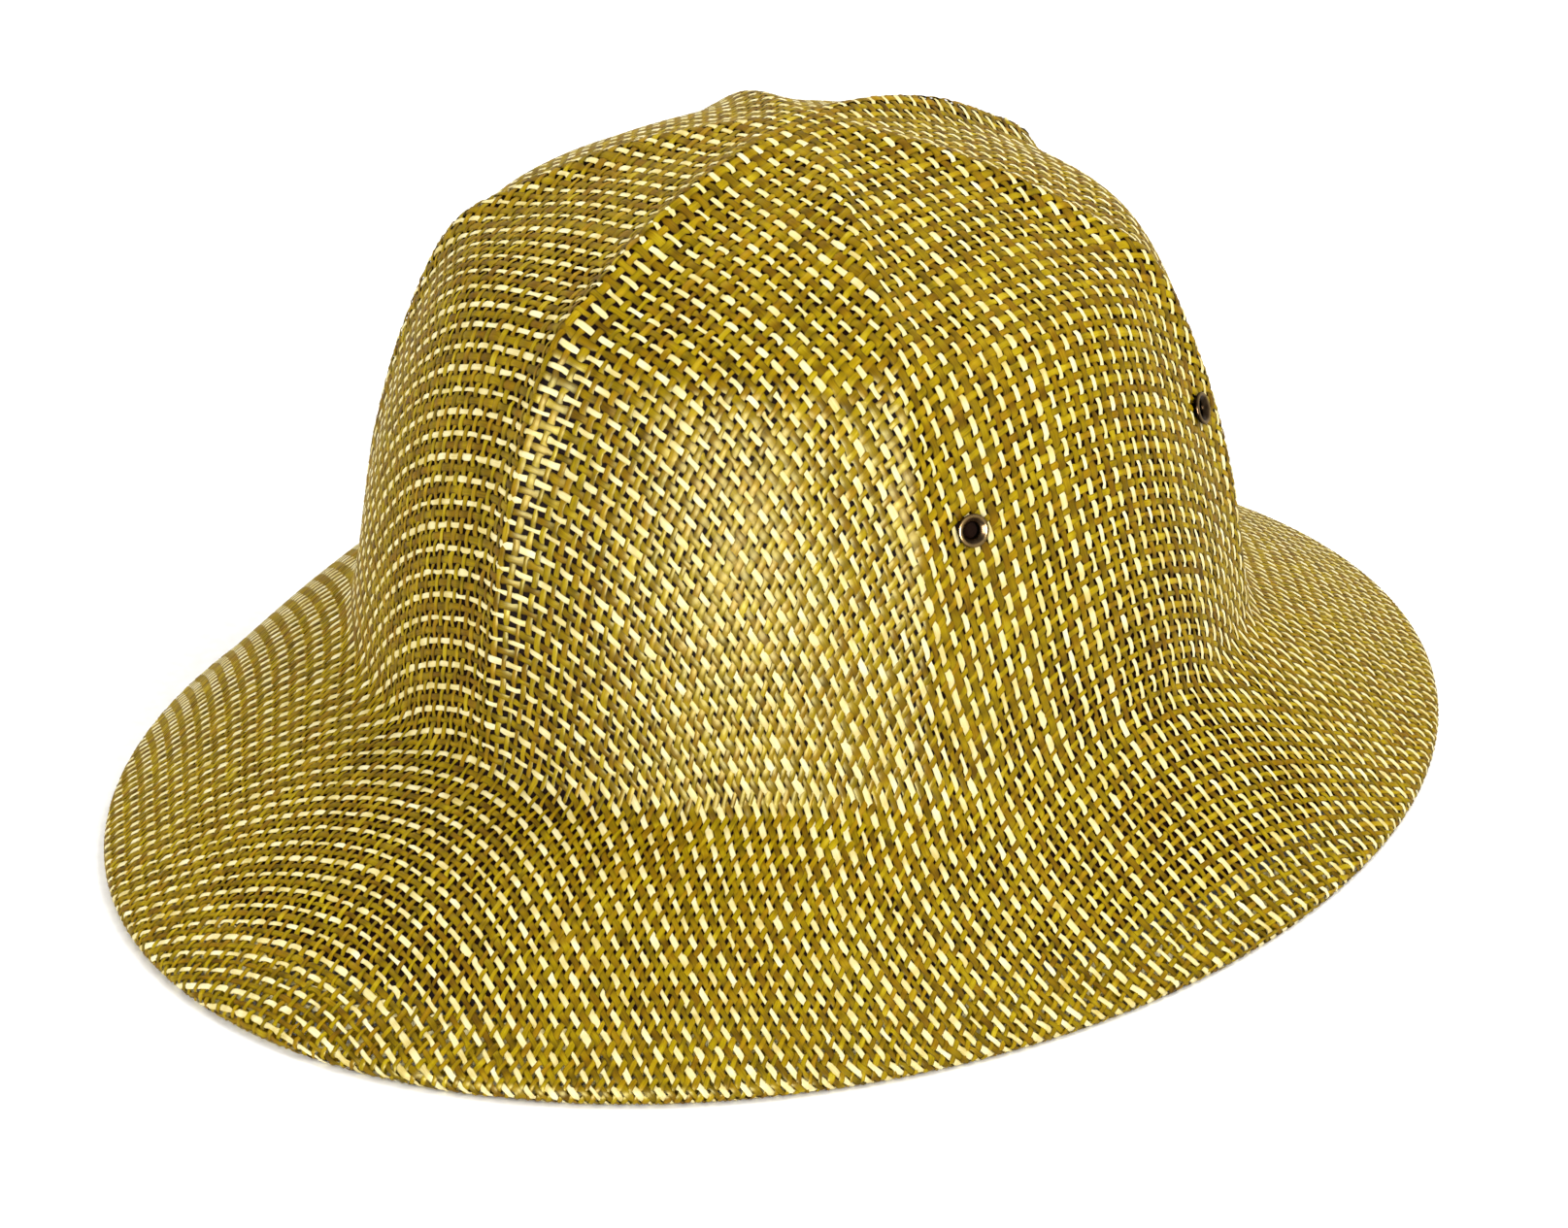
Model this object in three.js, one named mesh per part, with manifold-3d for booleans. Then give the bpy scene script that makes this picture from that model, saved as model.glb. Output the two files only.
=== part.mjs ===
// Sun helmet for beekeeping, pressed in one piece from woven straw cloth: a ribbed crown, a sloping brim
// with a turned-down rim, and brass vent eyelets in the crown's sides.
// Millimetres, +Z up, front towards -Y. The origin is the middle of the rim, in the plane that it rests on.
import * as THREE from 'three';
import { mergeVertices } from 'three/addons/utils/BufferGeometryUtils.js';
import Module from 'manifold-3d';

// Driving sizes
const LENGTH = 340;
const WIDTH = 273;
const WALL = 2;
// The crown stands a little behind the middle of the brim.
const CROWN_BACK = 4.5;

// Sections of the outer skin between the ribs, from the apex down to the edge of the brim.
// back: how far the section's middle lies behind the origin. rib: height of the ribs there.
// saddle: how far the section rises at the sides and dips at the front and back.
const SECTIONS = [
  { z: 153.5, halfWidth: 0, halfLength: 0, back: CROWN_BACK, rib: 0.9, saddle: 0 },
  { z: 150.8, halfWidth: 15, halfLength: 15.5, back: CROWN_BACK, rib: 2.7, saddle: 0 },
  { z: 146.4, halfWidth: 30, halfLength: 31, back: CROWN_BACK, rib: 4.1, saddle: 0 },
  { z: 140.5, halfWidth: 45, halfLength: 46.6, back: CROWN_BACK, rib: 4.8, saddle: 0 },
  { z: 133, halfWidth: 60.3, halfLength: 62.3, back: CROWN_BACK, rib: 4.6, saddle: 0 },
  { z: 124, halfWidth: 74.5, halfLength: 77.1, back: CROWN_BACK, rib: 4.3, saddle: 0 },
  { z: 101, halfWidth: 85.6, halfLength: 88.6, back: CROWN_BACK, rib: 4, saddle: 0.5 },
  { z: 74, halfWidth: 93.4, halfLength: 97, back: CROWN_BACK, rib: 3.4, saddle: 1.7 },
  { z: 48, halfWidth: 98.3, halfLength: 101.8, back: CROWN_BACK, rib: 1.7, saddle: 3.1 },
  { z: 40, halfWidth: 99.9, halfLength: 103.4, back: CROWN_BACK, rib: 0.8, saddle: 3.4 },
  { z: 36.9, halfWidth: 101.9, halfLength: 106.6, back: 4.3, rib: 0.3, saddle: 3.4 },
  { z: 33.5, halfWidth: 105.5, halfLength: 113.4, back: 3.7, rib: 0, saddle: 3.2 },
  { z: 21.2, halfWidth: 118.8, halfLength: 138.4, back: 1.8, rib: 0, saddle: 1.7 },
  { z: 8.4, halfWidth: 131, halfLength: 161.4, back: 0.3, rib: 0, saddle: 0 },
];
const LAST_SECTION = SECTIONS.length - 1;
const STEPS_BETWEEN_SECTIONS = 2;

// The rim: the cloth turns down and under in a flat-footed lip. out is measured from the outermost edge.
const LIP = [
  { out: -1.9, z: 4.8 },
  { out: -0.5, z: 3.5 },
  { out: 0, z: 1.7 },
  { out: -0.5, z: 0 },
  { out: -3.4, z: 0 },
  { out: -4, z: 1.1 },
];

// Pressed ribs run from the apex down the crown, at these angles round the oval from the front.
// height: share of the section table's rib height.
const RIBS = [
  { angle: 0, height: 1 },
  { angle: 57.5, height: 0.66 },
  { angle: 122.5, height: 0.66 },
  { angle: 180, height: 1 },
  { angle: 237.5, height: 0.66 },
  { angle: 302.5, height: 0.66 },
];
const RIB_HALF_WIDTH = 5;
const RIB_ROUNDING = 1.5;
// Places of the section points between one rib and the next, closer together beside the ribs
const RIB_TO_RIB = [0, 0.026, 0.055, 0.1, 0.17, 0.27, 0.385, 0.5, 0.615, 0.73, 0.83, 0.9, 0.945, 0.974];

// Vent eyelets, a pair on each side of the crown, before and behind the middle of the side.
// The wearer's left is towards +X.
const EYELET_HEIGHT = 93.4;
const EYELETS = [
  { name: 'eyelet_left_front', angle: 65 },
  { name: 'eyelet_left_rear', angle: 117.5 },
  { name: 'eyelet_right_rear', angle: 242.5 },
  { name: 'eyelet_right_front', angle: 295 },
];
const CLEARANCE = 0.3;
const BARREL_INNER = 1.9;
const BARREL_OUTER = 2.4;
const FLANGE_RADIUS = 3.6;
const FLANGE_HEIGHT = 0.95;
const BACK_RADIUS = 3.3;
const BACK_HEIGHT = 0.6;
const EDGE_ROUNDING = 0.3;
const EYELET_SIDES = 16;
const CUTTER_LENGTH = 12;
const CUTTER_SIDES = 20;

// Step in sections or radians for the direction of a skin
const SMALL_STEP = 0.01;

const wasm = await Module();
wasm.setup();

const profile = new THREE.CatmullRomCurve3(
  SECTIONS.map((row) => new THREE.Vector3(row.halfWidth, row.halfLength, row.z)),
);

// A column of the section table, read between its rows
function column(name, place) {
  const low = Math.min(Math.floor(place), LAST_SECTION - 1);
  return THREE.MathUtils.lerp(SECTIONS[low][name], SECTIONS[low + 1][name], place - low);
}

// The smooth oval skin without its ribs. place counts the rows of the table, angle is in radians
// from the front.
function oval(place, angle) {
  const row = profile.getPoint(place / LAST_SECTION);
  return new THREE.Vector3(
    row.x * Math.sin(angle),
    column('back', place) - row.y * Math.cos(angle),
    row.z - column('saddle', place) * Math.cos(2 * angle),
  );
}

// The outward direction of a skin, from its slopes down the section and round it
function outward(surface, place, angle) {
  const middle = THREE.MathUtils.clamp(place, SMALL_STEP, LAST_SECTION - SMALL_STEP);
  const down = surface(middle + SMALL_STEP, angle).sub(surface(middle - SMALL_STEP, angle));
  const round = surface(middle, angle + SMALL_STEP).sub(surface(middle, angle - SMALL_STEP));
  return down.cross(round).normalize();
}

// The ribs' directions seen from above, which follow the crown's oval
const [, CAP] = SECTIONS;
const ribDirections = RIBS.map((rib) => {
  const angle = THREE.MathUtils.degToRad(rib.angle);
  return new THREE.Vector2(CAP.halfWidth * Math.sin(angle), -CAP.halfLength * Math.cos(angle)).normalize();
});

// How far a point of the crown lies up a rib: 1 on the crest of a full rib, 0 on a panel
function ribShare(x, y) {
  let panel = 1;
  RIBS.forEach((rib, index) => {
    const direction = ribDirections[index];
    const along = x * direction.x + y * direction.y;
    const across = Math.abs(x * direction.y - y * direction.x);
    const away = along > 0 ? across : Math.hypot(x, y);
    panel *= 1 - rib.height * Math.exp(-((away / RIB_HALF_WIDTH) ** RIB_ROUNDING));
  });
  return 1 - panel;
}

// A point of the wall, depth below the outer skin
function wall(place, angle, depth) {
  const point = oval(place, angle);
  const height = column('rib', place) * ribShare(point.x, point.y - CROWN_BACK);
  return point.addScaledVector(outward(oval, place, angle), height - depth);
}

const outerSkin = (place, angle) => wall(place, angle, 0);

function columnAngles() {
  return RIBS.flatMap(({ angle: start }, index) => {
    const end = RIBS[index + 1]?.angle ?? 360;
    return RIB_TO_RIB.map((share) => THREE.MathUtils.degToRad(start + share * (end - start)));
  });
}

// Closed body from rings of points, each end drawn together in one point
function closedBody(first, rings, last) {
  const points = [first, ...rings.flat(), last];
  const around = rings[0].length;
  const at = (ring, index) => 1 + ring * around + (index % around);
  const faces = [];
  for (let i = 0; i < around; i += 1) {
    faces.push(0, at(0, i), at(0, i + 1));
    for (let ring = 0; ring + 1 < rings.length; ring += 1) {
      faces.push(at(ring, i), at(ring + 1, i), at(ring + 1, i + 1));
      faces.push(at(ring, i), at(ring + 1, i + 1), at(ring, i + 1));
    }
    faces.push(points.length - 1, at(rings.length - 1, i + 1), at(rings.length - 1, i));
  }
  const geometry = new THREE.BufferGeometry().setFromPoints(points);
  geometry.setIndex(faces);
  return geometry;
}

function shellGeometry() {
  const angles = columnAngles();
  const places = [];
  for (let step = 1; step <= LAST_SECTION * STEPS_BETWEEN_SECTIONS; step += 1) {
    places.push(step / STEPS_BETWEEN_SECTIONS);
  }
  const outer = places.map((place) => angles.map((angle) => wall(place, angle, 0)));
  const lip = LIP.map(({ out, z }) => angles.map((angle) => new THREE.Vector3(
    (WIDTH / 2 + out) * Math.sin(angle),
    -(LENGTH / 2 + out) * Math.cos(angle),
    z,
  )));
  const inner = places.map((place) => angles.map((angle) => wall(place, angle, WALL))).reverse();
  return closedBody(wall(0, 0, 0), [...outer, ...lip, ...inner], wall(0, 0, WALL));
}

function toSolid(geometry) {
  const bare = geometry.clone();
  bare.deleteAttribute('normal');
  bare.deleteAttribute('uv');
  const merged = mergeVertices(bare);
  return new wasm.Manifold(new wasm.Mesh({
    numProp: 3,
    vertProperties: new Float32Array(merged.attributes.position.array),
    triVerts: new Uint32Array(merged.index.array),
  }));
}

function toGeometry(solid) {
  const mesh = solid.getMesh();
  const geometry = new THREE.BufferGeometry();
  geometry.setAttribute('position', new THREE.BufferAttribute(mesh.vertProperties, mesh.numProp));
  geometry.setIndex(new THREE.BufferAttribute(mesh.triVerts, 1));
  geometry.computeVertexNormals();
  return geometry;
}

// Place and direction of an eyelet: where the crown's skin passes its height
function eyeletSeat(degrees) {
  const angle = THREE.MathUtils.degToRad(degrees);
  let above = 0;
  let below = LAST_SECTION;
  while (below - above > SMALL_STEP / 10) {
    const middle = (above + below) / 2;
    if (outerSkin(middle, angle).z > EYELET_HEIGHT) above = middle;
    else below = middle;
  }
  return { point: outerSkin(above, angle), normal: outward(outerSkin, above, angle) };
}

function seatOn(object, { point, normal }) {
  object.position.copy(point);
  object.quaternion.setFromUnitVectors(new THREE.Vector3(0, 1, 0), normal);
  object.updateMatrix();
}

// The punched hole that an eyelet's barrel passes through
function holeFor(seat) {
  const radius = BARREL_OUTER + CLEARANCE;
  const punch = new THREE.Mesh(new THREE.CylinderGeometry(radius, radius, CUTTER_LENGTH, CUTTER_SIDES));
  seatOn(punch, seat);
  return toSolid(punch.geometry.applyMatrix4(punch.matrix));
}

// Barrel with a rounded flange on the outer skin and a flat set-over flange on the inner skin
function eyeletGeometry() {
  const back = -WALL - CLEARANCE;
  const flange = (share) => CLEARANCE + FLANGE_HEIGHT * share;
  const section = [
    [BARREL_INNER, back - BACK_HEIGHT],
    [BACK_RADIUS - EDGE_ROUNDING, back - BACK_HEIGHT],
    [BACK_RADIUS, back - BACK_HEIGHT / 2],
    [BACK_RADIUS - EDGE_ROUNDING, back],
    [BARREL_OUTER, back],
    [BARREL_OUTER, flange(0)],
    [FLANGE_RADIUS - EDGE_ROUNDING, flange(0)],
    [FLANGE_RADIUS, flange(0.35)],
    [FLANGE_RADIUS - EDGE_ROUNDING, flange(0.75)],
    [(FLANGE_RADIUS + BARREL_INNER) / 2, flange(1)],
    [BARREL_INNER + EDGE_ROUNDING, flange(0.8)],
    [BARREL_INNER, flange(0.3)],
    [BARREL_INNER, back - BACK_HEIGHT],
  ];
  return new THREE.LatheGeometry(section.map(([r, h]) => new THREE.Vector2(r, h)), EYELET_SIDES);
}

const straw = new THREE.MeshStandardMaterial({ color: 0xa98f3a, roughness: 0.5, metalness: 0 });
const brass = new THREE.MeshStandardMaterial({ color: 0x6b5a3a, roughness: 0.4, metalness: 1 });

const helmet = new THREE.Group();
const seats = EYELETS.map(({ angle }) => eyeletSeat(angle));
const pierced = seats.reduce((solid, seat) => solid.subtract(holeFor(seat)), toSolid(shellGeometry()));
const shell = new THREE.Mesh(toGeometry(pierced), straw);
shell.name = 'shell';
helmet.add(shell);

EYELETS.forEach(({ name }, index) => {
  const eyelet = new THREE.Mesh(eyeletGeometry(), brass.clone());
  eyelet.name = name;
  seatOn(eyelet, seats[index]);
  helmet.add(eyelet);
});

export default helmet;
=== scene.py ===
"""Woven straw sun helmet for beekeeping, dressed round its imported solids.

The solids give the form: an oval crown with six ribs, a sloping brim with a turned-down rim, and
four vent eyelets. Here the shell is woven from strips of straw that pass over and under each other
on the same form, and the eyelets are turned finer. Lengths are in millimetres until a mesh is made.
"""

import logging
import math
from collections.abc import Callable
from dataclasses import dataclass
from enum import Enum
from functools import cached_property

import bpy
import numpy as np
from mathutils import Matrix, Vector


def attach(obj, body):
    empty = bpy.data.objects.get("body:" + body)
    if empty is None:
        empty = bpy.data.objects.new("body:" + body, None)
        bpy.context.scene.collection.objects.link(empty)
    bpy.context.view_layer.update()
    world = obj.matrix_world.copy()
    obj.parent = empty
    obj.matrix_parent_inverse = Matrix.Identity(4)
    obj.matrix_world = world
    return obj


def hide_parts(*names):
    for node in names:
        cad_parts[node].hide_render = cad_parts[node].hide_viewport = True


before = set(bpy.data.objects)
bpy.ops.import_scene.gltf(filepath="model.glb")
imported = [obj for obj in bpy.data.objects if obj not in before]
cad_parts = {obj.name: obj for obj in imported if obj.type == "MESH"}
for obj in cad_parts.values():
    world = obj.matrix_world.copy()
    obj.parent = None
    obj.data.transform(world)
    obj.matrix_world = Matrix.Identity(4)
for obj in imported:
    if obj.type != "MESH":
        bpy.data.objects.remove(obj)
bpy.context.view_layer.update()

MM = 0.001
BODY = "root"
SHELL_NODE = "shell"
log = logging.getLogger("helmet")

# Blender numbers the sockets of its mix node: two inputs and the output, for values and for colours
VALUE_A, VALUE_B, VALUE_OUT = 2, 3, 0
COLOUR_A, COLOUR_B, COLOUR_OUT = 6, 7, 2
# A strip's section has a left edge, a ridge and a right edge
RIBBON_CORNERS = 3
RIDGE_CORNER = 1

Surface = Callable[[np.ndarray, np.ndarray], np.ndarray]
Tones = tuple[tuple[float, str], ...]


@dataclass(frozen=True)
class Section:
    """One oval of the form, on the way from the apex over the rim to the hem's cut edge.

    back moves its middle behind the rim's, rib is the height of a full rib on it, and saddle lowers
    its front and back and lifts its sides.
    """

    z: float
    half_width: float
    half_length: float
    back: float = 0.0
    rib: float = 0.0
    saddle: float = 0.0


FORM_SECTIONS = (
    Section(153.5, 0, 0, back=4.5, rib=0.9),
    Section(150.8, 15, 15.5, back=4.5, rib=2.7),
    Section(146.4, 30, 31, back=4.5, rib=4.1),
    Section(140.5, 45, 46.6, back=4.5, rib=4.8),
    Section(133, 60.3, 62.3, back=4.5, rib=4.6),
    Section(124, 74.5, 77.1, back=4.5, rib=4.3),
    Section(101, 85.6, 88.6, back=4.5, rib=4, saddle=0.5),
    Section(74, 93.4, 97, back=4.5, rib=3.4, saddle=1.7),
    Section(48, 98.3, 101.8, back=4.5, rib=1.7, saddle=3.1),
    Section(40, 99.9, 103.4, back=4.5, rib=0.8, saddle=3.4),
    Section(36.9, 101.9, 106.6, back=4.3, rib=0.3, saddle=3.4),
    Section(33.5, 105.5, 113.4, back=3.7, saddle=3.2),
    Section(21.2, 118.8, 138.4, back=1.8, saddle=1.7),
    Section(8.4, 131, 161.4, back=0.3),
)
# The cloth goes on round the rim and is folded up under the brim
HEM_SECTIONS = (
    Section(4.8, 134.6, 168.1),
    Section(3.5, 136, 169.5),
    Section(1.7, 136.5, 170),
    Section(0.4, 135.8, 169.3),
    Section(0.3, 133.9, 167.4),
    Section(1.3, 132.6, 166),
    Section(3.6, 131.6, 163.9),
    Section(7, 129.3, 160),
    Section(10.4, 126.2, 154.2),
)


@dataclass(frozen=True)
class Rib:
    """One pressed rib: its angle from the front and its share of the section table's rib height."""

    degrees: float
    height: float


CROWN_RIBS = (
    Rib(0, 1.0),
    Rib(57.5, 0.66),
    Rib(122.5, 0.66),
    Rib(180, 1.0),
    Rib(237.5, 0.66),
    Rib(302.5, 0.66),
)


@dataclass(frozen=True)
class PullRow:
    """How the cloth was drawn over the block at one distance from the apex, measured down the form.

    Stretches are shares of the cloth's length, leans and the turn are in radians, and tan_width is
    the share of their own width that the tan strips have there. The bias lies between the strips'
    two directions.
    """

    distance: float
    stretch: float = 0.0
    bias_stretch: float = 0.0
    bias_lean: float = 0.0
    oval_lean: float = 0.0
    side_lean: float = 0.0
    turn: float = 0.0
    tan_width: float = 1.0


CLOTH_PULL = (
    PullRow(0, turn=-0.07, tan_width=1.2),
    PullRow(70, 0.08, 0.03, 0.09, 0.08, -0.02, -0.07, 1.14),
    PullRow(120, 0.10, 0.08, 0.20, 0.06, -0.01, -0.07, 1.02),
    PullRow(155, 0.12, 0.11, 0.30, 0.01, 0.02, -0.05, 0.9),
    PullRow(190, 0.13, 0.15, 0.31, 0.04, 0.06, -0.05, 0.82),
    PullRow(240, 0.13, 0.17, 0.27, 0.14, 0.12, -0.02, 0.81),
)


class StripWay(Enum):
    """The two directions of the plain weave."""

    LENGTHWISE = "lengthwise"
    CROSSWISE = "crosswise"


def linear(code: str) -> tuple[float, float, float, float]:
    """Turn an sRGB hex colour into linear values.

    Args:
        code: Six hex digits with a leading #.

    Returns:
        Linear red, green and blue, and an alpha of 1.
    """
    parts = (int(code[k:k + 2], 16) / 255 for k in (1, 3, 5))
    red, green, blue = (c / 12.92 if c <= 0.04045 else ((c + 0.055) / 1.055) ** 2.4 for c in parts)
    return red, green, blue, 1.0


def add_node(tree: bpy.types.NodeTree, kind: str, settings: dict | None = None,
             inputs: dict | None = None) -> bpy.types.Node:
    """Add a shader node with its settings, input values and links.

    Args:
        tree: Node tree that takes the node.
        kind: Blender's type name of the node.
        settings: Attributes of the node by name.
        inputs: Input sockets by name or number, each with a value or with a socket to link from.

    Returns:
        The new node.
    """
    node = tree.nodes.new(kind)
    for name, value in (settings or {}).items():
        setattr(node, name, value)
    for name, value in (inputs or {}).items():
        if isinstance(value, bpy.types.NodeSocket):
            tree.links.new(value, node.inputs[name])
        else:
            node.inputs[name].default_value = value
    return node


def new_material(name: str) -> tuple[bpy.types.Material, bpy.types.NodeTree, bpy.types.Node]:
    """Make an empty node material.

    Args:
        name: Name of the real material.

    Returns:
        The material, its node tree and its principled shader, linked to the output.
    """
    material = bpy.data.materials.new(name)
    material.use_nodes = True
    tree = material.node_tree
    tree.nodes.clear()
    shader = add_node(tree, "ShaderNodeBsdfPrincipled")
    add_node(tree, "ShaderNodeOutputMaterial", inputs={"Surface": shader.outputs["BSDF"]})
    return material, tree, shader


def set_ramp(node: bpy.types.Node, stops: Tones) -> None:
    """Give a colour ramp its stops.

    Args:
        node: Colour ramp node.
        stops: Place and sRGB hex colour of each stop, in order.
    """
    elements = node.color_ramp.elements
    while len(elements) < len(stops):
        elements.new(1.0)
    for element, (place, code) in zip(elements, stops):
        element.position = place
        element.color = linear(code)


def interpolate(table: np.ndarray, row: np.ndarray, column: np.ndarray) -> np.ndarray:
    """Read a table between its rows and columns.

    Args:
        table: Values on a grid.
        row: Row places, with fractions.
        column: Column places, with fractions.

    Returns:
        Values at the places.
    """
    r = np.clip(row.astype(int), 0, table.shape[0] - 2)
    c = np.clip(column.astype(int), 0, table.shape[1] - 2)
    a = row - r
    b = column - c
    upper = table[r, c] * (1 - b) + table[r, c + 1] * b
    lower = table[r + 1, c] * (1 - b) + table[r + 1, c + 1] * b
    return upper * (1 - a) + lower * a


def unit(vectors: np.ndarray) -> np.ndarray:
    """Scale vectors to length 1."""
    return vectors / np.linalg.norm(vectors, axis=-1, keepdims=True)


@dataclass(frozen=True)
class HelmetForm:
    """The pressed form that the cloth follows: ovals from the apex to the hem, with six ribs.

    A place counts the rows of the section table, and an angle in radians starts at the front and
    goes towards the wearer's left.
    """

    sections: tuple[Section, ...] = FORM_SECTIONS + HEM_SECTIONS
    crown_back: float = 4.5
    ribs: tuple[Rib, ...] = CROWN_RIBS
    rib_half_width: float = 5.0
    rib_rounding: float = 1.5
    small_step: float = 0.01
    seat_tolerance: float = 0.001

    @property
    def last(self) -> int:
        """Place of the last section."""
        return len(self.sections) - 1

    @cached_property
    def spans(self) -> np.ndarray:
        """Draw a centripetal Catmull-Rom curve through the sections.

        Returns:
            The four cubic terms of each span between sections.
        """
        rows = np.array([(s.half_width, s.half_length, s.z) for s in self.sections], float)
        rows = np.vstack([2 * rows[0] - rows[1], rows, 2 * rows[-1] - rows[-2]])
        steps = np.sqrt(np.linalg.norm(np.diff(rows, axis=0), axis=1))[:, None]
        before, step, after = steps[:-2], steps[1:-1], steps[2:]
        p0, p1, p2, p3 = rows[:-3], rows[1:-2], rows[2:-1], rows[3:]
        leave = step * ((p1 - p0) / before - (p2 - p0) / (before + step) + (p2 - p1) / step)
        reach = step * ((p2 - p1) / step - (p3 - p1) / (step + after) + (p3 - p2) / after)
        return np.stack([p1, leave, 3 * (p2 - p1) - 2 * leave - reach, 2 * (p1 - p2) + leave + reach])

    def column(self, name: str, place: np.ndarray) -> np.ndarray:
        """Read a column of the section table between its rows."""
        return np.interp(place, np.arange(self.last + 1), [getattr(s, name) for s in self.sections])

    def oval(self, place: np.ndarray, angle: np.ndarray) -> np.ndarray:
        """Find points of the smooth form, without its ribs.

        Args:
            place: Places down the section table.
            angle: Angles round the form.

        Returns:
            Points in millimetres.
        """
        span = np.clip(place.astype(int), 0, self.last - 1)
        w = (place - span)[..., None]
        constant, first, second, third = (self.spans[k][span] for k in range(4))
        row = constant + w * (first + w * (second + w * third))
        return np.stack([
            row[..., 0] * np.sin(angle),
            self.column("back", place) - row[..., 1] * np.cos(angle),
            row[..., 2] - self.column("saddle", place) * np.cos(2 * angle),
        ], axis=-1)

    def rib_share(self, x: np.ndarray, y: np.ndarray) -> np.ndarray:
        """Say how far points of the crown lie up a rib.

        Args:
            x: Distance to the wearer's left of the apex.
            y: Distance behind the apex.

        Returns:
            1 on the crest of a full rib, 0 on a panel.
        """
        cap = self.sections[1]
        panel = np.ones_like(x)
        for rib in self.ribs:
            turn = math.radians(rib.degrees)
            way = np.array([cap.half_width * math.sin(turn), -cap.half_length * math.cos(turn)])
            way /= np.linalg.norm(way)
            along = x * way[0] + y * way[1]
            across = np.abs(x * way[1] - y * way[0])
            away = np.where(along > 0, across, np.hypot(x, y))
            crest = np.exp(-((away / self.rib_half_width) ** self.rib_rounding))
            panel = panel * (1 - rib.height * crest)
        return 1 - panel

    def outward(self, surface: Surface, place: np.ndarray, angle: np.ndarray) -> np.ndarray:
        """Find the outward direction of a surface.

        Args:
            surface: The smooth form or its skin, as a function of place and angle.
            place: Places down the section table.
            angle: Angles round the form.

        Returns:
            Unit vectors.
        """
        step = self.small_step
        middle = np.clip(place, 2 * step, self.last - step)
        down = surface(middle + step, angle) - surface(middle - step, angle)
        round_it = surface(middle, angle + step) - surface(middle, angle - step)
        return unit(np.cross(down, round_it))

    def skin(self, place: np.ndarray, angle: np.ndarray) -> np.ndarray:
        """Find points of the outer skin, ribs included.

        Args:
            place: Places down the section table.
            angle: Angles round the form.

        Returns:
            Points in millimetres.
        """
        point = self.oval(place, angle)
        share = self.rib_share(point[..., 0], point[..., 1] - self.crown_back)
        height = self.column("rib", place) * share
        return point + self.outward(self.oval, place, angle) * height[..., None]

    def seat(self, height: float, degrees: float) -> tuple[np.ndarray, np.ndarray]:
        """Find where the crown's skin passes a height.

        Args:
            height: Height above the rim's plane.
            degrees: Angle from the front.

        Returns:
            The point and its outward direction.
        """
        angle = np.array(math.radians(degrees))
        above, below = 0.0, float(len(FORM_SECTIONS) - 1)
        while below - above > self.seat_tolerance:
            middle = (above + below) / 2
            if self.skin(np.array(middle), angle)[2] > height:
                above = middle
            else:
                below = middle
        place = np.array(above)
        return self.skin(place, angle), self.outward(self.skin, place, angle)


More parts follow.
